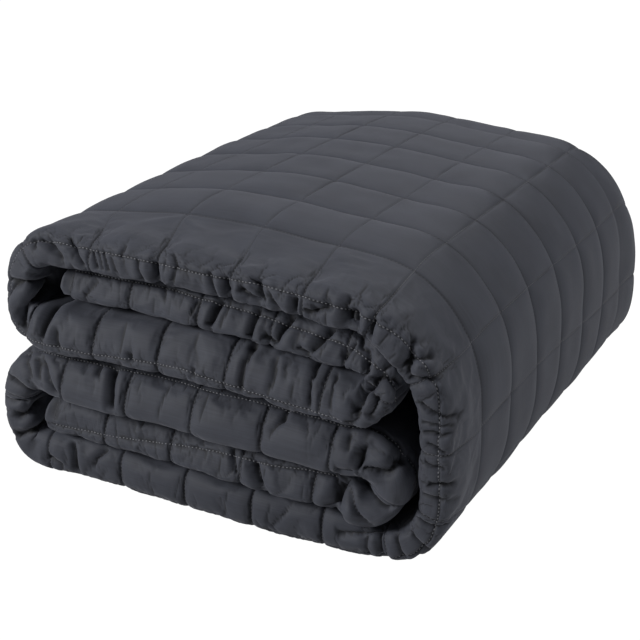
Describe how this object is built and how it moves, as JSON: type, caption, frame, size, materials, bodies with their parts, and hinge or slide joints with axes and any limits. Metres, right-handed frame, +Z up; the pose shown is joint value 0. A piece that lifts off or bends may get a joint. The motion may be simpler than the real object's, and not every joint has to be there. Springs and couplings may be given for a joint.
{
  "type": "folded weighted blanket",
  "caption": "Square-quilted weighted blanket in charcoal cloth, folded into a thick bundle with its padded layers showing along one edge.",
  "frame": {"origin": "centre of the bundle's box, on the plane it rests on", "axes": "+Z up through the stack of layers, +Y from the hemmed front edge to the back, +X to the closed right side"},
  "size_m": [0.3198, 0.3862, 0.1847],
  "materials": {
    "quilted_cloth": "matt woven microfibre, charcoal grey, square-quilted"
  },
  "bodies": {
    "root": {"weighted_blanket": "quilted_cloth"}
  },
  "joints": []
}
